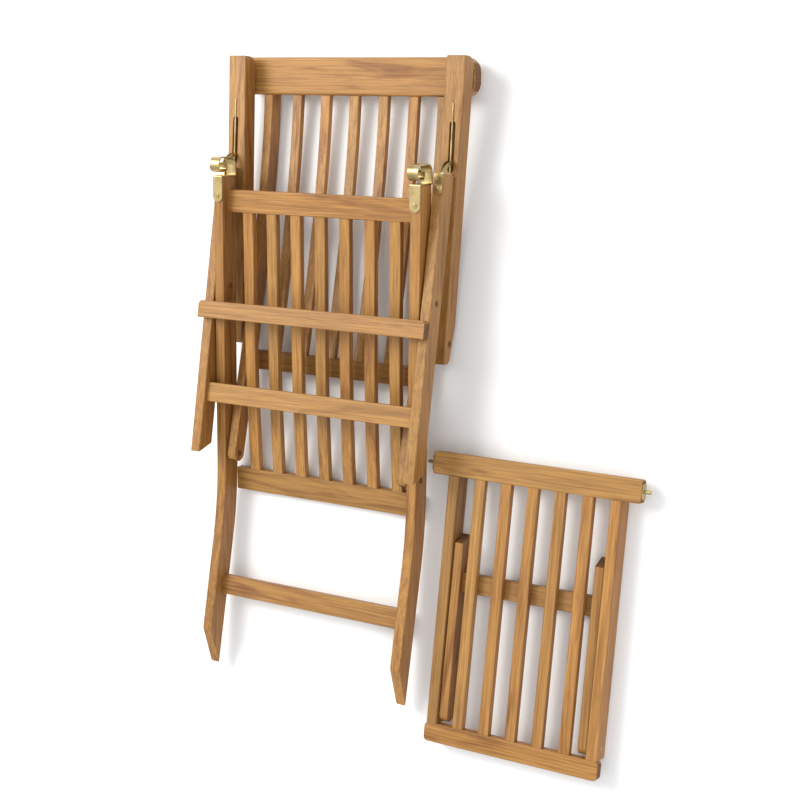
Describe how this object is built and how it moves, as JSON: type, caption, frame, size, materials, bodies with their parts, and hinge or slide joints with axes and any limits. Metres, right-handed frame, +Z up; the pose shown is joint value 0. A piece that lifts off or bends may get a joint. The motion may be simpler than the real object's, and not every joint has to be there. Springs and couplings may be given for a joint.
{
  "type": "folding deck chair",
  "caption": "Folding slatted wooden deck chair lying folded flat, with armrests, brass fittings and a detached slatted footrest beside it.",
  "frame": {"origin": "middle of the bounding box of chair and footrest, on the floor", "axes": "+X to the chair's right as seen from above with its head end away, +Y towards the head end, +Z up"},
  "size_m": [1.0564, 1.4478, 0.1944],
  "materials": {
    "teak_frame": "oiled teak, satin",
    "teak_slat": "oiled teak, satin",
    "teak_pellet": "teak pellets, end grain",
    "brass": "satin brass"
  },
  "bodies": {
    "back_frame": {"crest_board": "teak_frame", "back_bottom_rail": "teak_frame", "back_stile_left": "teak_frame", "back_stile_right": "teak_frame", "back_slat_1": "teak_slat", "back_slat_2": "teak_slat", "back_slat_3": "teak_slat", "back_slat_4": "teak_slat", "back_slat_5": "teak_slat", "arm_pins": "brass", "back_pins": "brass", "back_pellets": "teak_pellet", "arm_washers": "brass", "back_washers": "brass"},
    "seat_frame": {"seat_side_left": "teak_frame", "seat_side_right": "teak_frame", "seat_front_rail": "teak_frame", "seat_rear_rail": "teak_frame", "leg_stretcher": "teak_frame", "seat_slat_1": "teak_slat", "seat_slat_2": "teak_slat", "seat_slat_3": "teak_slat", "seat_slat_4": "teak_slat", "seat_slat_5": "teak_slat", "seat_slat_6": "teak_slat", "seat_slat_7": "teak_slat", "footrest_hook_left": "brass", "footrest_hook_right": "brass", "hook_screws": "brass", "front_leg_pins": "brass", "front_leg_washers": "brass", "seat_pellets": "teak_pellet"},
    "front_legs": {"front_leg_left": "teak_frame", "front_leg_right": "teak_frame", "front_leg_upper_rail": "teak_frame", "front_leg_lower_rail": "teak_frame", "leg_fork_left": "brass", "leg_fork_right": "brass", "fork_screws": "brass", "front_leg_pellets": "teak_pellet"},
    "left_arm": {"arm_left": "teak_frame", "arm_rod_left": "brass", "arm_pellet_left": "teak_pellet"},
    "right_arm": {"arm_right": "teak_frame", "arm_rod_right": "brass", "arm_pellet_right": "teak_pellet"},
    "footrest": {"footrest_top_rail": "teak_frame", "footrest_bottom_rail": "teak_frame", "footrest_side_left": "teak_frame", "footrest_side_right": "teak_frame", "footrest_slat_1": "teak_slat", "footrest_slat_2": "teak_slat", "footrest_slat_3": "teak_slat", "footrest_slat_4": "teak_slat", "footrest_slat_5": "teak_slat", "footrest_end_pins": "brass", "footrest_leg_pins": "brass"},
    "footrest_legs": {"footrest_leg_left": "teak_frame", "footrest_leg_right": "teak_frame", "footrest_leg_rail": "teak_frame"}
  },
  "joints": [
    {"name": "fold", "type": "hinge", "parent": "back_frame", "child": "seat_frame", "pos_m": [0, -0.16982, 0.05962], "axis": [1, 0, 0], "range_deg": [0, 86]},
    {"name": "front_leg_swing", "type": "hinge", "parent": "seat_frame", "child": "front_legs", "pos_m": [0, 0.20663, 0.1119], "axis": [1, 0, 0], "range_deg": [-86, 0]},
    {"name": "left_arm_swing", "type": "hinge", "parent": "back_frame", "child": "left_arm", "pos_m": [0, 0.12387, 0.03325], "axis": [1, 0, 0], "range_deg": [0, 86]},
    {"name": "right_arm_swing", "type": "hinge", "parent": "back_frame", "child": "right_arm", "pos_m": [0, 0.12387, 0.03325], "axis": [1, 0, 0], "range_deg": [0, 86]},
    {"name": "footrest_placing", "type": "slide", "parent": "back_frame", "child": "footrest", "axis": [1, 0, 0], "range_m": [0, 0.12]},
    {"name": "footrest_leg_swing", "type": "hinge", "parent": "footrest", "child": "footrest_legs", "pos_m": [0.27925, -0.65949, 0.023], "axis": [1, 0, 0], "range_deg": [-85, 0]}
  ],
  "couplings": [
    {"joint": "front_leg_swing", "follows": "fold", "ratio": -1},
    {"joint": "left_arm_swing", "follows": "fold", "ratio": 1},
    {"joint": "right_arm_swing", "follows": "fold", "ratio": 1}
  ]
}
